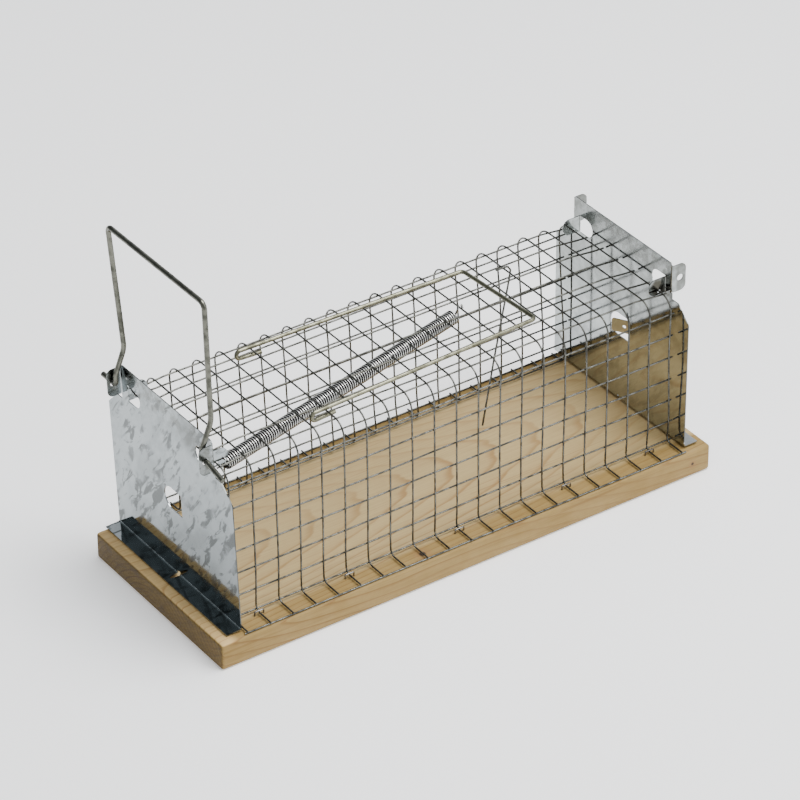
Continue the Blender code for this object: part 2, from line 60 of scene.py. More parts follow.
# ---------------------------------------------------------------- measures
# The counts and wires are the CAD's; places come from the frame, and the rest is in mesh pitches.
HOOPS = 21
SIDE_ROWS = 6
TOP_ROWS = 7
MESH_WIRE = 0.0009
LOOP_WIRE = 0.0026
LATCH_WIRE = 0.0021
BAIT_WIRE = 0.0010
SPRING_WIRE = 0.0011                 # thicker than the CAD's, so that the coil looks close-wound
SPRING_OUTER = 0.0076
STAPLE_WIRE = 0.0008
STAPLED_HOOPS = (1, 5, 10, 15, 19)
SHEET = 0.0005

cage_lo, cage_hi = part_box("cage_mesh")
board_lo, board_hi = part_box("base_board")
JOINTS = {joint["name"]: joint for joint in frame["joints"]}
PITCH = (cage_hi.x - cage_lo.x - MESH_WIRE) / (HOOPS - 1)
FRONT_FOOT = 0.95 * PITCH
FRONT_Y = cage_lo.y + MESH_WIRE / 2 + FRONT_FOOT
BACK_LEAN = 0.28 * PITCH
BACK_FOOT = 0.68 * PITCH
BACK_Y = cage_hi.y - MESH_WIRE / 2 - BACK_FOOT + BACK_LEAN
MID_Y = (FRONT_Y + BACK_Y) / 2
BOARD_TOP = board_hi.z
HINGE = Vector(JOINTS["door_hinge"]["pos_m"])
LOOP_PIVOT = Vector(JOINTS["loop_pivot"]["pos_m"])
LATCH_PIVOT = Vector(JOINTS["latch_hinge"]["pos_m"])
BAIT_PIVOT = Vector(JOINTS["bait_hook_swing"]["pos_m"])
TOP_Z = HINGE.z
CROWN = LATCH_PIVOT.z - HINGE.z
DOOR_LEAN = math.radians(2.0)

# The board's wood.
BOARD_EDGE = 0.0017
PITH_Y, PITH_SLOPE, PITH_DEPTH = 0.006, 0.115, 0.040
YEAR_RING = 0.0030
KNOTS = (((-0.0257, -0.0493, 0.0146), 0.0021), ((0.1320, -0.0557, 0.0073), 0.0011))

# Both end plates, in the hinge wire's own frame.
TAB_HINGE = 0.30 * PITCH             # plate's inner face to the hinge wire
PLATE_BEND, TAB_BEND = 0.0010, 0.0007
PLATE_HALF = 4.2 * PITCH
PLATE_SHOULDER = -0.26 * PITCH
PLATE_CHAMFER = 0.66 * PITCH
PLATE_BOTTOM = BOARD_TOP - TOP_Z + 0.0009
HEADER_HALF = 3.15 * PITCH
HEADER_TOP = 1.30 * PITCH
HEADER_CORNER = 0.0008
EAR_BOTTOM, EAR_TOP, EAR_LENGTH = 0.02 * PITCH, 1.20 * PITCH, 0.60 * PITCH
EAR_CORNER = 0.24 * PITCH
EAR_ROOT = 0.0014                    # how far the header is cut back for the ear's bend
EAR_SLIT = 0.0004
EAR_OVERLAP = 0.0022                 # how far the ear's own sheet runs into the header
EAR_HOLE, EAR_HOLE_RADIUS = (-TAB_HINGE - SHEET - 0.33 * PITCH, 0.60 * PITCH), 0.0018
TAB_HALF_SPACING, TAB_LENGTH, TAB_HEIGHT = 2.70 * PITCH, 0.80 * PITCH, 0.70 * PITCH
TAB_MIDDLE, TAB_CORNER = 0.22 * PITCH, 0.31 * PITCH
HINGE_PLAY = 0.0006
SPRING_HOLE, SPRING_HOLE_RADIUS = (0.64 * PITCH - TAB_HINGE, 0.10 * PITCH), 0.0010
CENTRE_OPENING = (1.15 * PITCH, 0.95 * PITCH, -3.05 * PITCH)    # length, height, middle
CENTRE_TAB = (0.75 * PITCH, 0.58 * PITCH, -2.88 * PITCH)
CENTRE_TAB_CORNER = 0.10 * PITCH
CENTRE_TAB_HOLE = (0.22 * PITCH, 0.0009)                        # from the fold, radius
CENTRE_TURN = 30.0
FLANGE_LENGTH = 0.62 * PITCH
SLOT_HALF = (0.0052, 0.0012)
MID_SHEET = -TAB_HINGE - SHEET / 2


def hoop_x(index):
    return HINGE.x + index * PITCH


def crown(x):
    """How far the tunnel's top is bowed up here; both plates hold their end hoops down."""
    from_end = min(x - hoop_x(0), hoop_x(HOOPS - 1) - x) / PITCH
    return CROWN * min(1.0, max(0.0, 0.75 * from_end))


# ---------------------------------------------------------------- shape helpers
def fillet(points, radius, steps=6):
    """A 3D path with each inner corner turned on a radius; radius is one number or one per corner."""
    path = [Vector(points[0])]
    corners = list(zip(points, points[1:], points[2:]))
    radii = radius if isinstance(radius, (list, tuple)) else [radius] * len(corners)
    for (before, corner, after), r in zip(corners, radii):
        corner = Vector(corner)
        back = (Vector(before) - corner).normalized()
        ahead = (Vector(after) - corner).normalized()
        half = back.angle(ahead) / 2
        if half > math.radians(89):
            path.append(corner)
            continue
        centre = corner + (back + ahead).normalized() * r / math.sin(half)
        first = (corner + back * r / math.tan(half) - centre).normalized()
        last = (corner + ahead * r / math.tan(half) - centre).normalized()
        path += [centre + r * first.slerp(last, step / steps) for step in range(steps + 1)]
    return path + [Vector(points[-1])]


def smooth_path(points, steps=6):
    """A Catmull-Rom curve through the points."""
    pts = [Vector(p) for p in points]
    pts = [2 * pts[0] - pts[1]] + pts + [2 * pts[-1] - pts[-2]]
    path = []
    for a, b, c, d in zip(pts, pts[1:], pts[2:], pts[3:]):
        for step in range(steps):
            t = step / steps
            path.append(0.5 * (2 * b + (c - a) * t + (2 * a - 5 * b + 4 * c - d) * t * t
                               + (3 * b - a - 3 * c + d) * t * t * t))
    return path + [pts[-2]]


def divide(path, longest):
    """The same path with long straight runs cut up, so that it can be bent a little."""
    out = [path[0]]
    for a, b in zip(path, path[1:]):
        count = max(1, math.ceil((b - a).length / longest))
        out += [a.lerp(b, (k + 1) / count) for k in range(count)]
    return out


def add_tube(shape, path, radius, sides=8):
    """A round wire along the path, with closed flat ends, added to a bmesh."""
    clean = [path[0]]
    for point in path[1:]:
        if (point - clean[-1]).length > 1e-6:
            clean.append(point)
    path = clean
    tangents = []
    for k in range(len(path)):
        before, after = path[max(k - 1, 0)], path[min(k + 1, len(path) - 1)]
        tangents.append((after - before).normalized())
    guide = Vector((0, 0, 1)) if abs(tangents[0].z) < 0.9 else Vector((1, 0, 0))
    normal = tangents[0].cross(guide).normalized()
    rings = []
    for k, (point, tangent) in enumerate(zip(path, tangents)):
        normal = (normal - tangent * normal.dot(tangent)).normalized()
        other = tangent.cross(normal)
        ring = []
        for side in range(sides):
            angle = 2 * math.pi * side / sides
            out = math.cos(angle) * normal + math.sin(angle) * other
            ring.append(shape.verts.new(point + radius * out))
        rings.append(ring)
    for a, b in zip(rings, rings[1:]):
        for side in range(sides):
            nxt = (side + 1) % sides
            shape.faces.new((a[side], a[nxt], b[nxt], b[side])).smooth = True
    shape.faces.new(list(reversed(rings[0])))
    shape.faces.new(rings[-1])


def piece(name, shape, material, body, node):
    """Makes the bmesh an object that stands for a CAD node and rides on its body, unless body is None."""
    bmesh.ops.recalc_face_normals(shape, faces=shape.faces)
    mesh = bpy.data.meshes.new(name)
    shape.to_mesh(mesh)
    shape.free()
    mesh.set_sharp_from_angle(angle=math.radians(50))
    mesh.materials.append(material)
    obj = bpy.data.objects.new(name, mesh)
    bpy.context.scene.collection.objects.link(obj)
    if body:
        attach(obj, body)
    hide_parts(node)
    return obj


def wire_piece(name, path, diameter, material, body, node, sides=16):
    shape = bmesh.new()
    add_tube(shape, path, diameter / 2, sides)
    piece(name, shape, material, body, node)


# ---------------------------------------------------------------- material helpers
class Nodes:
    """Short calls for building one material's node tree."""

    def __init__(self, name):
        self.material = bpy.data.materials.new(name)
        self.material.use_nodes = True
        self.tree = self.material.node_tree
        self.shader = self.tree.nodes["Principled BSDF"]
        self.place = self.tree.nodes.new("ShaderNodeTexCoord").outputs["Object"]

    def put(self, socket, value):
        if isinstance(value, bpy.types.NodeSocket):
            self.tree.links.new(value, socket)
        elif hasattr(socket.default_value, "__len__") and not hasattr(value, "__len__"):
            socket.default_value = [value] * len(socket.default_value)
        elif hasattr(value, "__len__") and len(value) == 3 and len(socket.default_value) == 4:
            socket.default_value = (*value, 1.0)
        else:
            socket.default_value = value

    def math(self, operation, a, b=0.0):
        node = self.tree.nodes.new("ShaderNodeMath")
        node.operation = operation
        self.put(node.inputs[0], a)
        self.put(node.inputs[1], b)
        return node.outputs[0]

    def times(self, *values):
        product = values[0]
        for value in values[1:]:
            product = self.math("MULTIPLY", product, value)
        return product

    def inverse(self, value):
        return self.math("SUBTRACT", 1.0, value)

    def facing(self, axis):
        """How squarely the surface looks along an axis of the object, either way: one is squarely."""
        dot = self.tree.nodes.new("ShaderNodeVectorMath")
        dot.operation = "DOT_PRODUCT"
        self.put(dot.inputs[0], self.tree.nodes.new("ShaderNodeTexCoord").outputs["Normal"])
        dot.inputs[1].default_value = axis
        return self.math("ABSOLUTE", dot.outputs["Value"])

    def scaled(self, scale, turn=(0.0, 0.0, 0.0), shift=(0.0, 0.0, 0.0)):
        node = self.tree.nodes.new("ShaderNodeMapping")
        self.put(node.inputs["Vector"], self.place)
        node.inputs["Scale"].default_value = scale
        node.inputs["Rotation"].default_value = turn
        node.inputs["Location"].default_value = shift
        return node.outputs[0]

    def slanted(self, turn, scale, shift=(0.0, 0.0, 0.0)):
        """Turned first and stretched after, so that the pattern runs on a slant."""
        node = self.tree.nodes.new("ShaderNodeMapping")
        self.put(node.inputs["Vector"], self.scaled((1.0, 1.0, 1.0), turn))
        node.inputs["Scale"].default_value = scale
        node.inputs["Location"].default_value = shift
        return node.outputs[0]

    def near(self, at, inner, outer, warp=0.0):
        """One at a spot and nothing beyond it."""
        gap = self.tree.nodes.new("ShaderNodeVectorMath")
        gap.operation = "DISTANCE"
        self.put(gap.inputs[0], self.place)
        gap.inputs[1].default_value = at
        return self.span(self.math("ADD", gap.outputs["Value"], warp), inner, outer, 1.0, 0.0)

    def noise(self, vector, detail=3.0, rough=0.5, distortion=0.0):
        node = self.tree.nodes.new("ShaderNodeTexNoise")
        self.put(node.inputs["Vector"], vector)
        node.inputs["Scale"].default_value = 1.0
        node.inputs["Detail"].default_value = detail
        node.inputs["Roughness"].default_value = rough
        node.inputs["Distortion"].default_value = distortion
        return node.outputs["Fac"]

    def cells(self, vector):
        """One random value for each Voronoi cell, as zinc spangle has."""
        node = self.tree.nodes.new("ShaderNodeTexVoronoi")
        self.put(node.inputs["Vector"], vector)
        node.inputs["Scale"].default_value = 1.0
        return self.split(node.outputs["Color"])[0]

    def split(self, vector):
        node = self.tree.nodes.new("ShaderNodeSeparateXYZ")
        self.put(node.inputs[0], vector)
        return node.outputs

    def span(self, value, low, high, to_low=0.0, to_high=1.0):
        """Value between low and high, taken to another range and held there."""
        node = self.tree.nodes.new("ShaderNodeMapRange")
        node.interpolation_type = "SMOOTHSTEP"
        for socket, number in zip(node.inputs, (value, low, high, to_low, to_high)):
            self.put(socket, number)
        return node.outputs[0]

    def mix(self, factor, a, b, blend="MIX"):
        node = self.tree.nodes.new("ShaderNodeMix")
        node.data_type = "RGBA"
        node.blend_type = blend
        self.put(node.inputs["Factor"], factor)
        self.put(node.inputs["A"], a)
        self.put(node.inputs["B"], b)
        return node.outputs["Result"]

    def tinted(self, colour, tint):
        return self.mix(1.0, colour, tint, "MULTIPLY")

    def bump(self, height, distance, strength=1.0, under=None):
        node = self.tree.nodes.new("ShaderNodeBump")
        node.inputs["Strength"].default_value = strength
        node.inputs["Distance"].default_value = distance
        self.put(node.inputs["Height"], height)
        if under is not None:
            self.put(node.inputs["Normal"], under)
        return node.outputs[0]

    def done(self, colour, rough, metallic=0.0, normal=None):
        self.put(self.shader.inputs["Base Color"], colour)
        self.put(self.shader.inputs["Roughness"], rough)
        self.put(self.shader.inputs["Metallic"], metallic)
        if normal is not None:
            self.put(self.shader.inputs["Normal"], normal)
        return self.material


# ---------------------------------------------------------------- materials
def pine_material():
    """Flat-sawn pine: year rings round a pith below the board, thin late lines, fibres, end grain darkened
    with painted shade, knots.
    """
    n = Nodes("planed_pine")
    x, y, z = n.split(n.place)[:3]
    wander = n.math("SUBTRACT", n.noise(n.scaled((4.0, 15.0, 15.0)), 2.0), 0.5)
    # The pith runs below the board and dips towards the fixed end, which draws the long arches.
    across = n.math("ADD", n.math("ADD", y, -PITH_Y), n.times(wander, 0.026))
    depth = n.math("ADD", z, n.math("ADD", n.times(x, PITH_SLOPE), PITH_DEPTH))
    ring = n.math("SQRT", n.math("ADD", n.times(across, across), n.times(depth, depth)))
    fine = n.noise(n.scaled((16.0, 150.0, 150.0)), 3.0)
    fine = n.times(n.math("SUBTRACT", fine, 0.5), 0.0013)
    uneven = n.times(n.noise(n.scaled((0.0, 60.0, 60.0)), 1.0), 1.3)
    phase = n.math("FRACT", n.math("ADD", n.math("DIVIDE", n.math("ADD", ring, fine), YEAR_RING), uneven))
    late = n.times(n.span(phase, 0.72, 0.93), n.inverse(n.span(phase, 0.93, 1.0)))
    broad = n.times(n.span(phase, 0.10, 0.90), n.inverse(n.span(phase, 0.90, 1.0)))
    patch = n.span(n.noise(n.scaled((7.0, 34.0, 34.0), shift=(3.1, 0.7, 0.0)), 3.0), 0.40, 0.66)
    late = n.times(late, n.math("ADD", n.times(patch, 0.65), 0.35))
    thread = n.noise(n.scaled((9.0, 560.0, 560.0), shift=(0.0, 2.0, 5.0)), 3.0, 0.6)
    thread = n.times(n.span(thread, 0.60, 0.70), n.span(wander, -0.10, 0.12, 0.25, 1.0))
    fibre = n.noise(n.scaled((26.0, 1300.0, 1300.0)), 4.0, 0.7)

    pale, warm = (0.50, 0.372, 0.182), (0.43, 0.31, 0.136)
    colour = n.mix(n.noise(n.scaled((4.0, 22.0, 22.0)), 2.0), pale, warm)
    colour = n.mix(n.times(broad, 0.22), colour, (0.36, 0.225, 0.090))
    colour = n.mix(n.times(late, 0.80), colour, (0.29, 0.155, 0.052))
    colour = n.mix(n.times(thread, 0.62), colour, (0.30, 0.165, 0.058))
    bare = colour = n.mix(n.span(fibre, 0.35, 0.75, 0.0, 0.38), colour, (0.27, 0.185, 0.082))

    # The rim outside the mesh is darker than the tunnel's floor.
    outside = n.span(n.math("ABSOLUTE", n.math("SUBTRACT", y, MID_Y)), 0.044, 0.049)
    rim_mottle = n.noise(n.scaled((60.0, 60.0, 60.0), shift=(5.0, 0.0, 1.0)), 4.0, 0.65)
    darker_rim = n.times(outside, n.span(rim_mottle, 0.2, 0.8, 0.78, 1.0))
    colour = n.mix(darker_rim, colour, n.tinted(colour, (0.53, 0.465, 0.285)))
    # Painted light: the strip that the door's flange lies on is lightened against the shade that the door
    # casts on it.
    beyond_door = n.span(x, HINGE.x - 0.010, HINGE.x - 0.004, 1.0, 0.0)
    on_top = n.span(z, BOARD_TOP - 0.0012, BOARD_TOP - 0.0004)
    wear_and_painted_light = n.times(beyond_door, on_top, 0.9)
    colour = n.mix(wear_and_painted_light, colour, n.tinted(bare, (1.40, 1.33, 1.24)))
    warp = n.times(wander, 0.003)
    for at, size in KNOTS:
        halo = n.near(at, size * 1.2, size * 3.2, warp)
        colour = n.mix(halo, colour, n.mix(0.45, colour, (0.25, 0.13, 0.05)))
        colour = n.mix(n.near(at, size * 0.55, size * 1.05, warp), colour, (0.045, 0.026, 0.016))

    # The end faces are darker: partly the end grain's own colour, partly painted shade.
    end = n.span(n.facing((1.0, 0.0, 0.0)), 0.45, 0.9)
    saw = n.noise(n.slanted((0.5, 0.0, 0.0), (400.0, 90.0, 900.0)), 4.0, 0.7)
    stain = n.noise(n.scaled((100.0, 70.0, 150.0), shift=(2.0, 2.0, 0.0)), 3.0, 0.6)
    sawn, deep_sawn = n.tinted(bare, (0.29, 0.240, 0.090)), n.tinted(bare, (0.175, 0.142, 0.055))
    end_colour = n.mix(n.span(saw, 0.3, 0.75), sawn, deep_sawn)
    end_colour = n.mix(n.span(stain, 0.55, 0.72, 0.0, 0.5), end_colour, (0.050, 0.032, 0.015))
    end_colour = n.mix(n.times(late, 0.75), end_colour, (0.046, 0.024, 0.009))
    n.shader.inputs["Specular IOR Level"].default_value = 0.28
    bump = n.bump(fibre, 0.00012, 0.55)
    bump = n.bump(n.times(saw, end), 0.0004, 0.6, bump)
    return n.done(n.mix(end, colour, end_colour), n.span(fibre, 0.3, 0.8, 0.52, 0.70), 0.0, bump)


def sheet_material():
    """Galvanised sheet: mirror-like zinc with spangle, slanting rubbed smudges and a slight waviness."""
    n = Nodes("galvanised_sheet")
    x, y, z = n.split(n.place)[:3]

    def by_end(at_door, at_fixed_end):
        """A value that differs between the two plates."""
        return n.span(x, -0.05, 0.05, at_door, at_fixed_end)

    slant = (-0.66, 0.0, 0.0)
    spangle = n.cells(n.slanted((0.6, 0.0, 0.0), (210.0, 210.0, 120.0)))
    smear = n.noise(n.slanted(slant, (110.0, 235.0, 72.0)), 4.0, 0.56, 0.7)
    place = n.noise(n.scaled((55.0, 60.0, 50.0), shift=(2.3, 0.4, 1.2)), 3.0, 0.6)
    cloud = n.noise(n.slanted(slant, (60.0, 85.0, 40.0), shift=(1.7, 0.3, 0.9)), 5.0, 0.64)
    scuff = n.noise(n.slanted((-0.5, 0.0, 0.0), (500.0, 1500.0, 110.0)), 4.0, 0.7)
    grain = n.noise(n.scaled((1800.0, 1800.0, 1800.0)), 2.0)
    mottle = n.noise(n.scaled((190.0, 210.0, 190.0)), 4.0, 0.65)
    worn = n.times(n.span(cloud, 0.47, 0.66), by_end(0.42, 0.22))
    smudge = n.times(n.span(smear, 0.50, 0.60), n.span(place, 0.36, 0.55), by_end(1.0, 0.25))

    # The door is darker than the fixed end.
    clean = n.mix(by_end(0.0, 1.0), (0.345, 0.375, 0.383), (0.50, 0.525, 0.52))
    colour = n.mix(n.span(cloud, 0.3, 0.6), clean, n.tinted(clean, (0.90, 0.91, 0.92)))
    colour = n.mix(n.span(spangle, 0.0, 1.0, 0.0, 0.20), colour, n.tinted(clean, (1.2, 1.2, 1.2)))
    colour = n.mix(worn, colour, (0.21, 0.23, 0.23))
    colour = n.mix(n.times(smudge, 0.92), colour, (0.088, 0.098, 0.097))
    colour = n.mix(n.span(scuff, 0.58, 0.74, 0.0, 0.32), colour, (0.20, 0.215, 0.215))
    colour = n.mix(n.span(grain, 0.45, 0.75, 0.0, 0.12), colour, (0.26, 0.28, 0.28))

    # The fixed end is dull below its header.
    dull = n.times(n.span(z, TOP_Z - 0.045, TOP_Z - 0.020), n.span(mottle, 0.35, 0.65, 0.45, 1.0))
    colour = n.mix(n.times(dull, by_end(0.0, 1.0)), colour, (0.27, 0.285, 0.275))
    # Thumbs and the loop have worn the headers and, most of all, the ears.
    high = n.span(z, TOP_Z - 0.002, TOP_Z + 0.012)
    handled = n.times(high, n.span(mottle, 0.40, 0.62, by_end(0.0, 0.45), 1.0))
    middle = (HINGE.x + hoop_x(HOOPS - 1)) / 2
    outer_face = hoop_x(HOOPS - 1) - middle + TAB_HINGE + SHEET
    from_middle = n.math("ABSOLUTE", n.math("SUBTRACT", x, middle))
    ears = n.times(n.span(from_middle, outer_face + 0.0012, outer_face + 0.0030),
                   n.span(z, TOP_Z - 0.006, TOP_Z), n.span(mottle, 0.25, 0.60, 0.55, 1.0), by_end(1.0, 0.75))
    warp = n.times(n.math("SUBTRACT", cloud, 0.5), 0.016)
    wear_and_painted_light = n.near((HINGE.x - 0.0050, -0.0165, TOP_Z + 0.0070), 0.003, 0.013, warp)
    wear_and_painted_light = n.times(wear_and_painted_light, n.span(smear, 0.30, 0.60, 0.45, 1.0))
    colour = n.mix(n.times(handled, 0.62), colour, (0.140, 0.146, 0.134))
    colour = n.mix(n.times(wear_and_painted_light, 0.88), colour, (0.12, 0.13, 0.125))
    colour = n.mix(n.times(ears, 0.68), colour, (0.095, 0.097, 0.083))
    rear_tab = (hoop_x(HOOPS - 1) - 0.0015, LOOP_PIVOT.y - TAB_HALF_SPACING, TOP_Z + 0.0026)
    colour = n.mix(n.near(rear_tab, 0.0035, 0.0085, warp), colour, (0.060, 0.057, 0.046))

    # Cut edges are bare and dull: the sides and chamfers, and the header's top.
    edge_on = n.span(n.facing((1.0, 0.0, 0.0)), 0.55, 0.80, 1.0, 0.0)
    beside = n.span(n.math("ABSOLUTE", n.math("SUBTRACT", y, LOOP_PIVOT.y)), 0.0402, 0.0406)
    beside = n.times(beside, n.span(z, BOARD_TOP + 0.003, BOARD_TOP + 0.004))
    cut = n.math("MAXIMUM", beside, n.span(z, TOP_Z + 0.0160, TOP_Z + 0.0163))
    colour = n.mix(n.times(edge_on, cut, 0.9), colour, (0.075, 0.078, 0.072))

    rough = n.math("ADD", n.span(cloud, 0.35, 0.75, 0.058, 0.098), n.times(smudge, 0.10))
    rough = n.math("ADD", rough, n.times(n.math("MAXIMUM", handled, ears), 0.14))
    wave = n.noise(n.scaled((15.0, 15.0, 11.0), shift=(0.0, 4.0, 2.0)), 1.0)
    return n.done(colour, rough, 1.0, n.bump(scuff, 0.00002, 0.12, n.bump(wave, 0.0005, 0.20)))


def wire_material(name, bright, dark, rough, grain=300.0, coil_axis=None):
    """Drawn wire: patchy plating, with fine draw marks. A coil has painted shade where its turns meet."""
    n = Nodes(name)
    patch = n.noise(n.scaled((grain, grain, grain)), 3.0)
    bloom = n.noise(n.scaled((60.0, 60.0, 60.0), shift=(0.3, 0.8, 0.1)), 2.0)
    colour = n.mix(n.span(patch, 0.35, 0.68), bright, dark)
    colour = n.mix(n.span(bloom, 0.52, 0.75, 0.0, 0.35), colour, [min(1.0, c * 1.35) for c in bright])
    # Painted shade: a coil's turns are darkened on the sides that face their neighbours.
    if coil_axis:
        colour = n.mix(n.span(n.facing(coil_axis), 0.30, 0.72), colour, (0.016, 0.016, 0.014))
    draw_marks = n.noise(n.scaled((2500.0, 2500.0, 2500.0)), 2.0)
    finish = n.span(patch, 0.3, 0.75, rough - 0.07, rough + 0.12)
    return n.done(colour, finish, 0.92, n.bump(draw_marks, 0.00002, 0.5))


PINE = pine_material()
SHEET_METAL = sheet_material()
MESH_METAL = wire_material("galvanised_mesh_wire", (0.118, 0.118, 0.104), (0.040, 0.040, 0.035), 0.28)
LOOP_METAL = wire_material("drawn_loop_wire", (0.140, 0.140, 0.116), (0.058, 0.059, 0.048), 0.25, 260.0)
LATCH_METAL = wire_material("zinc_latch_wire", (0.205, 0.200, 0.142), (0.105, 0.102, 0.068), 0.25, 240.0)
FASTENER_METAL = wire_material("fastener_wire", (0.27, 0.26, 0.24), (0.11, 0.10, 0.085), 0.28)


# ---------------------------------------------------------------- board
def build_board():
    """A planed board whose worn edges wander a little."""
    lo, hi = board_lo, board_hi
    shape = bmesh.new()
    bmesh.ops.create_cube(shape, size=1.0, matrix=Matrix.Translation((lo + hi) / 2)
                          @ Matrix.Diagonal((*(hi - lo), 1.0)))
    bmesh.ops.bevel(shape, geom=list(shape.edges), offset=BOARD_EDGE, segments=5, profile=0.5, affect="EDGES")
    cuts, margin = 40, 0.004
    for k in range(1, cuts):
        x = lo.x + margin + (hi.x - lo.x - 2 * margin) * k / cuts
        bmesh.ops.bisect_plane(shape, geom=list(shape.verts) + list(shape.edges) + list(shape.faces),
                               plane_co=(x, 0, 0), plane_no=(1, 0, 0))
    centre = (lo + hi) / 2
    for vert in shape.verts:
        away = vert.co - centre
        edge = min(1.0, abs(away.y) / (hi.y - centre.y)) * min(1.0, abs(away.z) / (hi.z - centre.z))
        knocked = 0.5 + 0.5 * noise.noise(Vector((vert.co.x * 42.0, vert.co.y * 12.0, 3.0)))
        wear = 0.00022 * knocked * edge ** 8
        vert.co.y -= math.copysign(wear, away.y)
        vert.co.z -= math.copysign(wear, away.z)
    for face in shape.faces:
        face.smooth = True
    piece("pine_board", shape, PINE, "frame", "base_board")


# ---------------------------------------------------------------- welded mesh
FOOT_Z = BOARD_TOP + 0.00125         # hoop wires on the board, above the long wires they are welded to
WELD = 0.86 * MESH_WIRE              # hoop wire to long wire, pressed into each other
SIDE_STEP = 0.978 * PITCH
FIRST_TOP = MID_Y - (TOP_ROWS - 1) / 2 * PITCH
BACK_FOLD_Y = BACK_Y - BACK_LEAN
HOOP_BEND = 0.62 * PITCH             # the big bends where the sides turn into the top
FOLD_BEND = 0.0034                   # and the folds on the board
FOLD_ROW_OUT, FOLD_ROW_Z = 0.0002, FOOT_Z + WELD * 0.9    # the long wire that lies in each fold


def sway(point):
    """How far hand bending has moved the mesh here: most on the sides, nothing at the hooks and hinges."""
    below = min(1.0, max(0.0, (TOP_Z - 0.006 - point.z) / (2.0 * PITCH)))
    above = min(1.0, max(0.0, (point.z - BOARD_TOP - 0.002) / PITCH))
    move = noise.noise_vector(Vector((point.x * 14.0, point.y * 9.0, point.z * 17.0)))
    side = Vector((move.x * 0.0012, move.y * 0.0010, move.z * 0.0006)) * below * above
    top = Vector((move.y * 0.0002, 0.0, move.x * 0.00012)) * (1.0 - below)
    if point.y > MID_Y:
        side.x += 0.08 * PITCH * below    # the back wall has been pushed along a little
    return point + side + top


def build_mesh():
    """One sheet of welded mesh: a bent wire for each hoop, and a long wire for each row of crossings."""
    rng = random.Random(SEED)
    shape = bmesh.new()
    for hoop in range(HOOPS):
        x = hoop_x(hoop)
        top = TOP_Z + crown(x)
        ends = [rng.uniform(0.02, 0.09) * PITCH for _ in range(2)]
        corners = [(FRONT_Y - FRONT_FOOT - ends[0], FOOT_Z), (FRONT_Y, FOOT_Z), (FRONT_Y, top),
                   (BACK_Y, top), (BACK_FOLD_Y, FOOT_Z), (BACK_FOLD_Y + BACK_FOOT + ends[1], FOOT_Z)]
        bends = [FOLD_BEND, HOOP_BEND, HOOP_BEND, FOLD_BEND]
        path = fillet([Vector((x, y, z)) for y, z in corners], bends, 8)
        add_tube(shape, [sway(p) for p in divide(path, PITCH * 0.45)], MESH_WIRE / 2)

    rows = [(FRONT_Y - FRONT_FOOT, FOOT_Z - WELD), (FRONT_Y - FOLD_ROW_OUT, FOLD_ROW_Z)]
    rows += [(FRONT_Y + WELD, BOARD_TOP + k * SIDE_STEP) for k in range(1, SIDE_ROWS + 1)]
    rows += [(FIRST_TOP + k * PITCH, TOP_Z - WELD) for k in range(TOP_ROWS)]
    rows += [(BACK_Y - BACK_LEAN * (1 - k / SIDE_ROWS) - WELD, BOARD_TOP + k * SIDE_STEP)
             for k in range(SIDE_ROWS, 0, -1)]
    rows += [(BACK_FOLD_Y + FOLD_ROW_OUT, FOLD_ROW_Z), (BACK_FOLD_Y + BACK_FOOT, FOOT_Z - WELD)]
    for y, z in rows:
        start = hoop_x(0) - rng.uniform(0.05, 0.12) * PITCH
        end = hoop_x(HOOPS - 1) + rng.uniform(0.14, 0.24) * PITCH
        path = divide([Vector((start, y, z)), Vector((end, y, z))], PITCH * 0.5)
        if z == TOP_Z - WELD:
            path = [Vector((p.x, p.y, p.z + crown(p.x))) for p in path]
        add_tube(shape, [sway(p) for p in path], MESH_WIRE / 2)
    piece("welded_mesh", shape, MESH_METAL, "frame", "cage_mesh")


# ---------------------------------------------------------------- end plates
def arc(cx, cy, rx, start, end, steps, ry=None):
    ry = rx if ry is None else ry
    turn = [math.radians(start + (end - start) * k / steps) for k in range(steps + 1)]
    return [(cx + rx * math.cos(a), cy + ry * math.sin(a)) for a in turn]


def whole_turn(cx, cy, rx, ry=None):
    return arc(cx, cy, rx, 0, 345, 23, ry)


def prism(outline, low, high, lay):
    """A solid from a closed outline, pushed from low to high. lay turns (u, v, w) into x, y, z."""
    shape = bmesh.new()
    ends = [[shape.verts.new(lay(u, v, w)) for u, v in outline] for w in (low, high)]
    shape.faces.new(ends[0])
    shape.faces.new(list(reversed(ends[1])))
    for k in range(len(outline)):
        nxt = (k + 1) % len(outline)
        shape.faces.new((ends[0][k], ends[1][k], ends[1][nxt], ends[0][nxt]))
    bmesh.ops.recalc_face_normals(shape, faces=shape.faces)
    mesh = bpy.data.meshes.new("solid")
    shape.to_mesh(mesh)
    shape.free()
    obj = bpy.data.objects.new("solid", mesh)
    bpy.context.scene.collection.objects.link(obj)
    return obj


def side_on(u, v, w):
    return Vector((u, w, v))


def face_on(u, v, w):
    return Vector((w, u, v))


def from_above(u, v, w):
    return Vector((u, v, w))


def strip(line):
    """The outline of a sheet seen edge on, half its thickness either side of a line."""
    left, right = [], []
    for k, point in enumerate(line):
        before, after = Vector(line[max(k - 1, 0)]), Vector(line[min(k + 1, len(line) - 1)])
        along = (after - before).normalized()
        normal = Vector((-along.y, along.x)) * SHEET / 2
        left.append(tuple(Vector(point) + normal))
        right.append(tuple(Vector(point) - normal))
    return left + list(reversed(right))


def combine(target, operation, *others):
    """Exact Booleans, applied at once; the cutters are removed."""
    for other in others:
        modifier = target.modifiers.new("cut", "BOOLEAN")
        modifier.object, modifier.operation, modifier.solver = other, operation, "EXACT"
    mesh = bpy.data.meshes.new_from_object(target.evaluated_get(bpy.context.evaluated_depsgraph_get()))
    target.modifiers.clear()
    target.data = mesh
    for other in others:
        bpy.data.objects.remove(other)
    return target


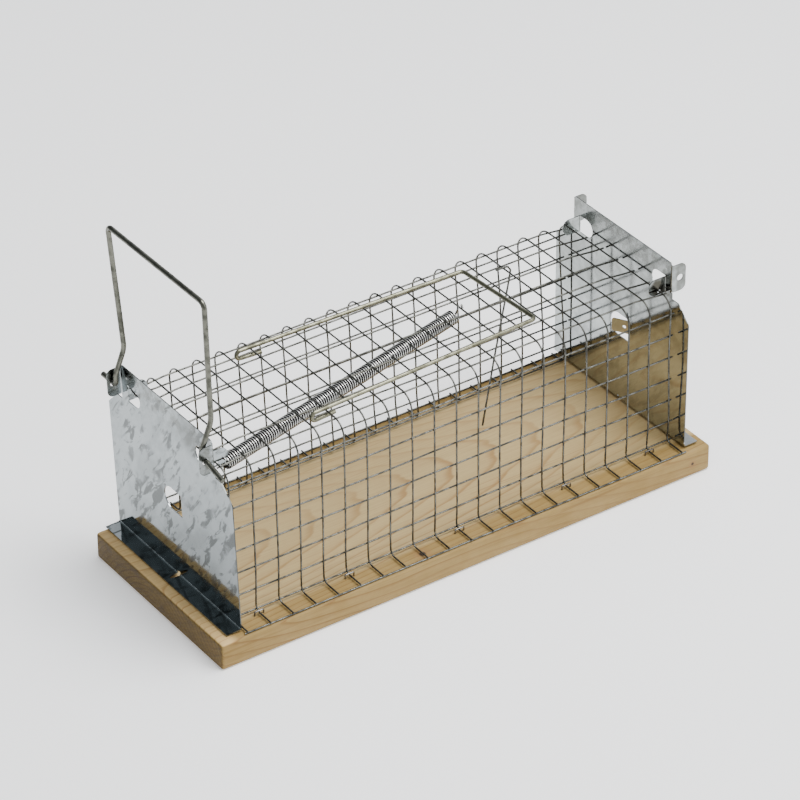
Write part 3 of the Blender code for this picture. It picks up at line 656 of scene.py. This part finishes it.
def lanced_tab(fold_y, degrees, middle, height, length, corner, holes):
    """A tab turned in from the sheet on a small radius, with rounded corners. holes: out, height, radius."""
    bend = TAB_BEND
    side = 1 if fold_y > 0 else -1
    turn = math.radians(degrees)
    line = [(MID_SHEET, fold_y + side * 0.0016)]
    for step in range(7):
        a = turn * step / 6
        line.append((MID_SHEET + bend - bend * math.cos(a), fold_y + side * (bend - bend * math.sin(a))))
    root = Vector((*line[-1], 0.0))
    along = Vector((math.sin(turn), -side * math.cos(turn), 0.0))
    normal = Vector((math.cos(turn), side * math.sin(turn), 0.0))
    line.append(tuple(root + along * length)[:2])
    tab = prism(strip(line), middle - height / 2, middle + height / 2, from_above)

    def in_tab(u, v, w):
        return root + along * u + normal * w + Vector((0.0, 0.0, v))

    half = height / 2
    keep = [(-0.01, middle - half)] + arc(length - corner, middle - half + corner, corner, -90, 0, 10)
    keep += arc(length - corner, middle + half - corner, corner, 0, 90, 10) + [(-0.01, middle + half)]
    combine(tab, "INTERSECT", prism(keep, -0.01, 0.01, in_tab))
    drills = [prism(whole_turn(out, z, r), -0.003, 0.003, in_tab) for out, z, r in holes]
    return combine(tab, "DIFFERENCE", *drills)


def lanced_opening(root, toward, height, length, middle):
    """The cutter for the opening that a tab leaves, from the tab's fold to a round end."""
    clear = 0.0003
    half = height / 2 + clear
    edge = [(0.0, -half)] + arc(length + clear - half, 0.0, half, -90, 90, 20) + [(0.0, half)]
    outline = [(root + toward * u, middle + v) for u, v in edge]
    return prism(outline, MID_SHEET - 0.003, MID_SHEET + 0.003, face_on)


def build_plate(name, place, body, node, spring_tab, centre_fold):
    """The stamping: one sheet bent out into a flange below and two ears above, with three lanced tabs."""
    bend = PLATE_BEND
    low = PLATE_BOTTOM + SHEET / 2
    line = [(MID_SHEET, HEADER_TOP), (MID_SHEET, low + bend)]
    line += arc(MID_SHEET - bend, low + bend, bend, 0, -90, 8)[1:]
    line.append((-TAB_HINGE - SHEET - FLANGE_LENGTH, low))
    plate = prism(strip(line), -PLATE_HALF, PLATE_HALF, side_on)

    under, beyond = PLATE_BOTTOM - 0.005, PLATE_HALF + 0.001
    ear_root, ear_low = HEADER_HALF - EAR_ROOT, EAR_BOTTOM - EAR_SLIT
    right = [(beyond, under), (beyond, low - SHEET), (PLATE_HALF, low - SHEET),
             (PLATE_HALF, PLATE_SHOULDER - PLATE_CHAMFER), (PLATE_HALF - PLATE_CHAMFER, PLATE_SHOULDER),
             (HEADER_HALF, PLATE_SHOULDER), (HEADER_HALF, ear_low), (ear_root, ear_low),
             (ear_root, EAR_TOP + EAR_SLIT)]
    right += arc(ear_root - HEADER_CORNER, HEADER_TOP - HEADER_CORNER, HEADER_CORNER, 0, 90, 4)
    outline = right + [(-u, v) for u, v in reversed(right)]
    combine(plate, "INTERSECT", prism(outline, -0.05, 0.01, face_on))

    outer = -TAB_HINGE - SHEET - EAR_LENGTH
    for side in (-1, 1):
        y = side * (HEADER_HALF - SHEET / 2)
        line = [(MID_SHEET, y - side * EAR_OVERLAP)]
        for degrees in range(0, 91, 12):
            a = math.radians(degrees)
            line.append((MID_SHEET - bend + bend * math.cos(a), y - side * bend * (1 - math.sin(a))))
        line += [(MID_SHEET - bend, y), (outer, y)]
        ear = prism(strip(line), EAR_BOTTOM, EAR_TOP, from_above)
        keep = [(0.0, EAR_BOTTOM), (0.0, EAR_TOP)]
        keep += arc(outer + EAR_CORNER, EAR_TOP - EAR_CORNER, EAR_CORNER, 90, 180, 8)
        keep += arc(outer + EAR_CORNER, EAR_BOTTOM + EAR_CORNER, EAR_CORNER, 180, 270, 8)
        combine(ear, "INTERSECT", prism(keep, y - 0.01, y + 0.01, side_on))
        hole = prism(whole_turn(*EAR_HOLE, EAR_HOLE_RADIUS), y - 0.003, y + 0.003, side_on)
        combine(ear, "DIFFERENCE", hole)
        combine(plate, "UNION", ear)

    cuts = [lanced_opening(s * TAB_HALF_SPACING, -s, TAB_HEIGHT, TAB_LENGTH, TAB_MIDDLE) for s in (-1, 1)]
    length, height, middle = CENTRE_OPENING
    fold_y = centre_fold * length / 2
    cuts.append(lanced_opening(fold_y, -centre_fold, height, length, middle))
    slot_cut = whole_turn(-TAB_HINGE - SHEET, 0.0, *SLOT_HALF)
    cuts.append(prism(slot_cut, PLATE_BOTTOM - 0.002, PLATE_BOTTOM + 0.002, from_above))
    combine(plate, "DIFFERENCE", *cuts)

    out = TAB_HINGE + SHEET / 2 - TAB_BEND
    for side in (-1, 1):
        holes = [(out, 0.0, MESH_WIRE / 2 + HINGE_PLAY)]
        if spring_tab and side < 0:
            holes.append((out + SPRING_HOLE[0], SPRING_HOLE[1], SPRING_HOLE_RADIUS))
        tab = lanced_tab(side * (TAB_HALF_SPACING + SHEET * 0.6), 90.0, TAB_MIDDLE, TAB_HEIGHT,
                         out - TAB_HINGE + TAB_LENGTH, TAB_CORNER, holes)
        combine(plate, "UNION", tab)
    length, height, middle = CENTRE_TAB
    hole = (CENTRE_TAB_HOLE[0], middle, CENTRE_TAB_HOLE[1])
    tab = lanced_tab(fold_y, CENTRE_TURN, middle, height, length, CENTRE_TAB_CORNER, [hole])
    combine(plate, "UNION", tab)

    shape = bmesh.new()
    shape.from_mesh(plate.data)
    bpy.data.objects.remove(plate)
    bmesh.ops.remove_doubles(shape, verts=shape.verts, dist=1e-6)
    shape.transform(place)
    piece(name, shape, SHEET_METAL, body, node)


# ---------------------------------------------------------------- loop, latch, bait hook, spring
def mirrored(points):
    """The same points on the other side, in the order that carries the wire on."""
    return [Vector((p.x, -p.y, p.z)) for p in reversed(points)]


def build_loop():
    """The setting lever: one thick wire through both ears, with a knee in each leg."""
    hinge = Vector((HINGE.x, LOOP_PIVOT.y, HINGE.z)) - LOOP_PIVOT
    low, high = 2.93 * PITCH, 3.20 * PITCH
    foot = Vector((0, HEADER_HALF + 0.70 * PITCH, 0))
    knee = hinge + Vector((-0.28, 0.0, 2.05)) * PITCH
    bar = hinge + Vector((-0.55, 0.0, 7.20)) * PITCH
    leg = [Vector((0, low, 0)), Vector((0, low, 0.45 * PITCH)), Vector((knee.x, low, knee.z)),
           Vector((bar.x, high, bar.z))]
    front_foot = [Vector((0, -HEADER_HALF - 0.15 * PITCH, 0)),
                  Vector((0, -HEADER_HALF - 1.10 * PITCH, -0.22 * PITCH))]
    bends = [0.0021, 0.0040, 0.0120, 0.0030]     # at the ear, above it, at the knee, at the bar
    radii = bends + bends[::-1] + [0.0030]
    path = [LOOP_PIVOT + p for p in fillet([foot] + leg + mirrored(leg) + front_foot, radii, 8)]
    wire_piece("setting_loop", path, LOOP_WIRE, LOOP_METAL, "loop", "door_loop")


def build_latch():
    """A U of wire that hooks round one hoop wire and lies on the tunnel."""
    clear = 0.00215                              # hoop wire's middle to latch wire's middle, in the hook
    bend_x, half = clear - 0.70 * PITCH, 2.52 * PITCH
    hook = [Vector((0.36 * PITCH, half - 0.0009, -clear)), Vector((bend_x, half, -clear))]
    hook += [Vector((bend_x - clear * math.sin(a), half, -clear * math.cos(a)))
             for a in [math.pi * k / 10 for k in range(1, 10)]]
    leg_start = Vector((bend_x, half, clear))
    length, bar_y = 9.50 * PITCH, 2.17 * PITCH
    rise, skew = clear + 0.10 * PITCH, 0.14 * PITCH
    corners = [leg_start, Vector((length - skew, bar_y, rise)), Vector((length + skew, -bar_y, rise)),
               Vector((bend_x, -half, clear))]
    path = [LATCH_PIVOT + p for p in hook + fillet(corners, 0.0024, 8) + mirrored(hook)]
    wire_piece("latch_bar", path, LATCH_WIRE, LATCH_METAL, "latch", "latch_wire")


def build_bait_hook():
    """A thin wire that hooks over one hoop wire and slants down into the tunnel."""
    over = 0.0016                                # hoop wire's middle to the hook's middle
    points = [Vector((-0.45 * PITCH, 0, over + 0.02 * PITCH)), Vector((0.10 * PITCH, 0, over))]
    points += [Vector((0.24, 0.0, -0.08)) * PITCH, Vector((0.12, 0.0, -0.77)) * PITCH,
               Vector((-0.62, -0.15, -3.75)) * PITCH, Vector((-1.35, -0.42, -6.42)) * PITCH]
    path = [BAIT_PIVOT + p for p in fillet(points, 0.0012)]
    wire_piece("bait_wire", path, BAIT_WIRE, MESH_METAL, "bait_hook", "bait_hook",
               sides=12)


def build_spring():
    """A close-wound tension spring, hooked through the door's tab and over a hoop wire."""
    turns, per_turn, anchor_hoop = 112, 14, 13
    near = Vector((HINGE.x, FRONT_Y, HINGE.z)) + Vector((0.62, 1.22, -0.47)) * PITCH
    anchor = Vector((hoop_x(anchor_hoop), FRONT_Y + 4.0 * PITCH, HINGE.z + CROWN))
    far = anchor + Vector((-0.15, 0.23, -0.46)) * PITCH
    along = (far - near).normalized()
    side = along.cross(Vector((0, 0, 1))).normalized()
    up = side.cross(along)
    radius = (SPRING_OUTER - SPRING_WIRE) / 2
    coil = []
    for step in range(turns * per_turn + 1):
        angle = 2 * math.pi * step / per_turn
        coil.append(near.lerp(far, step / (turns * per_turn))
                    + radius * (math.cos(angle) * side + math.sin(angle) * up))
    tab_y = LOOP_PIVOT.y - TAB_HALF_SPACING - SHEET / 2
    hole = Vector((HINGE.x + SPRING_HOLE[0], tab_y, HINGE.z + SPRING_HOLE[1]))
    door_hook = smooth_path([hole + Vector((0, -0.0014, -0.0003)), hole,
                             hole + Vector((0.0006, 0.0014, -0.0006)),
                             near - along * 0.0015 - up * 0.001, coil[0]])
    lift = 0.0014
    anchor_hook = smooth_path([coil[-1], far + along * 0.0016, anchor + Vector((-lift, 0, -lift * 0.6)),
                               anchor + Vector((-lift * 0.7, 0, lift * 0.8)),
                               anchor + Vector((lift * 0.6, 0, lift)),
                               anchor + Vector((lift * 1.1, 0, -lift * 0.5))])
    shape = bmesh.new()
    add_tube(shape, door_hook[:-1] + coil + anchor_hook[1:], SPRING_WIRE / 2)
    metal = wire_material("spring_wire", (0.70, 0.70, 0.68), (0.44, 0.44, 0.42), 0.17, coil_axis=along)
    spring = piece("tension_spring", shape, metal, None, "door_spring")
    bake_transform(spring)


# ---------------------------------------------------------------- fasteners
def build_staples():
    for hoop in STAPLED_HOOPS:
        for word in ("front", "back"):
            node = "staple_%s_%02d" % (word, hoop)
            lo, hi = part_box(node)
            y = (lo.y + hi.y) / 2
            half = STAPLE_WIRE / 2
            top = hi.z - half
            corners = [Vector((lo.x + half, y, lo.z)), Vector((lo.x + half, y, top)),
                       Vector((hi.x - half, y, top)), Vector((hi.x - half, y, lo.z))]
            wire_piece("driven_" + node, fillet(corners, 0.0007, 6), STAPLE_WIRE, FASTENER_METAL, "frame",
                       node, sides=10)


def build_nail():
    """A brad with a slightly domed head, turned from its profile."""
    lo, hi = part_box("rear_plate_nail")
    x, y = (lo.x + hi.x) / 2, (lo.y + hi.y) / 2
    head, shank = (hi.x - lo.x) / 2, 0.0005
    # Radius and height, from the blunt point up the shank and over the head.
    profile = [(0.0, lo.z), (shank * 0.6, lo.z + 0.0012), (shank, lo.z + 0.0025), (shank, hi.z - 0.0008),
               (head * 0.92, hi.z - 0.00075), (head, hi.z - 0.00055), (head * 0.94, hi.z - 0.00028),
               (head * 0.6, hi.z - 0.0001), (0.0, hi.z)]
    sides = 20
    shape = bmesh.new()
    rings = []
    for r, z in profile:
        if r == 0.0:
            rings.append([shape.verts.new((x, y, z))])
        else:
            turns = [2 * math.pi * k / sides for k in range(sides)]
            rings.append([shape.verts.new((x + r * math.cos(a), y + r * math.sin(a), z)) for a in turns])
    for a, b in zip(rings, rings[1:]):
        for k in range(sides):
            nxt = (k + 1) % sides
            ring = [a[k % len(a)], a[nxt % len(a)], b[nxt % len(b)], b[k % len(b)]]
            shape.faces.new(list(dict.fromkeys(ring))).smooth = True
    piece("plate_brad", shape, FASTENER_METAL, "frame", "rear_plate_nail")


# ---------------------------------------------------------------- build
build_board()
build_mesh()
door_place = Matrix.Translation((HINGE.x, LOOP_PIVOT.y, HINGE.z)) @ Matrix.Rotation(-DOOR_LEAN, 4, "Y")
build_plate("sheet_door", door_place, "door", "door_plate", True, -1)
rear_place = Matrix.Translation((hoop_x(HOOPS - 1), LOOP_PIVOT.y, HINGE.z)) @ Matrix.Rotation(math.pi, 4, "Z")
build_plate("sheet_end", rear_place, "frame", "rear_plate", False, 1)
build_loop()
build_latch()
build_bait_hook()
build_spring()
build_staples()
build_nail()


# ---------------------------------------------------------------- floor, light, camera
FLOOR_SIZE = 12.0
FLOOR_GLOW = 0.28
ROOM, UNLIT_CORNER, ROOM_STRENGTH = (0.78, 0.80, 0.83), (0.175, 0.200, 0.212), 1.14
UNLIT_TOWARDS, UNLIT_EDGE = Vector((-0.50, 0.66, 0.56)).normalized(), (0.62, 0.90)
CAMERA_AT, CAMERA_LENS = (-0.9561, -1.3822, 1.1822), 189.8


def build_stage():
    """A pale floor that glows faintly."""
    shape = bmesh.new()
    bmesh.ops.create_grid(shape, x_segments=1, y_segments=1, size=FLOOR_SIZE)
    mesh = bpy.data.meshes.new("floor")
    shape.to_mesh(mesh)
    shape.free()
    floor = bpy.data.objects.new("floor", mesh)
    n = Nodes("pale_floor")
    tone = n.noise(n.scaled((3.0, 3.0, 3.0)), 2.0)
    n.put(n.shader.inputs["Emission Color"], (1.0, 1.0, 1.0))
    n.shader.inputs["Emission Strength"].default_value = FLOOR_GLOW
    mesh.materials.append(n.done(n.mix(tone, (0.91, 0.91, 0.91), (0.94, 0.94, 0.94)), 0.8))
    bpy.context.scene.collection.objects.link(floor)


def softbox(name, at, towards, size, power):
    light = bpy.data.lights.new(name, "AREA")
    light.shape, light.size, light.size_y, light.energy = "RECTANGLE", size[0], size[1], power
    lamp = bpy.data.objects.new(name, light)
    lamp.location = at
    lamp.rotation_euler = (Vector(towards) - Vector(at)).to_track_quat("-Z", "Y").to_euler()
    bpy.context.scene.collection.objects.link(lamp)


def build_world():
    """A pale room with one unlit corner up and behind the door end, which the flange mirrors."""
    world = bpy.data.worlds.new("studio")
    world.use_nodes = True
    tree = world.node_tree
    coord = tree.nodes.new("ShaderNodeTexCoord")
    dot = tree.nodes.new("ShaderNodeVectorMath")
    dot.operation = "DOT_PRODUCT"
    dot.inputs[1].default_value = UNLIT_TOWARDS
    tree.links.new(coord.outputs["Generated"], dot.inputs[0])
    spread = tree.nodes.new("ShaderNodeMapRange")
    spread.interpolation_type = "SMOOTHSTEP"
    spread.inputs["From Min"].default_value, spread.inputs["From Max"].default_value = UNLIT_EDGE
    tree.links.new(dot.outputs["Value"], spread.inputs["Value"])
    mix = tree.nodes.new("ShaderNodeMix")
    mix.data_type = "RGBA"
    mix.inputs["A"].default_value = (*ROOM, 1.0)
    mix.inputs["B"].default_value = (*UNLIT_CORNER, 1.0)
    tree.links.new(spread.outputs[0], mix.inputs["Factor"])
    background = tree.nodes["Background"]
    background.inputs["Strength"].default_value = ROOM_STRENGTH
    tree.links.new(mix.outputs["Result"], background.inputs["Color"])
    bpy.context.scene.world = world


def build_camera():
    """The photograph's viewing angle, long lens and slight roll."""
    azimuth, elevation, roll = math.radians(-34.56), math.radians(33.6), math.radians(-0.44)
    forward = Vector((-math.sin(azimuth) * math.cos(elevation), math.cos(azimuth) * math.cos(elevation),
                      -math.sin(elevation)))
    right = Vector((math.cos(azimuth), math.sin(azimuth), 0.0))
    up = right.cross(forward)
    right, up = (math.cos(roll) * right + math.sin(roll) * up, math.cos(roll) * up - math.sin(roll) * right)
    camera = bpy.data.objects.new("camera", bpy.data.cameras.new("camera"))
    camera.data.sensor_width = 36.0
    camera.data.lens = CAMERA_LENS
    camera.data.clip_start = 0.05
    turned = Matrix((right, up, -forward)).transposed().to_4x4()
    camera.matrix_world = Matrix.Translation(CAMERA_AT) @ turned
    bpy.context.scene.collection.objects.link(camera)
    bpy.context.scene.camera = camera


build_stage()
build_world()
softbox("top_light", (0.35, -0.35, 1.5), (0.0, 0.0, 0.05), (1.1, 1.1), 40.0)
softbox("front_fill", (0.9, -1.6, 0.9), (0.0, 0.0, 0.05), (0.9, 0.9), 11.0)
build_camera()
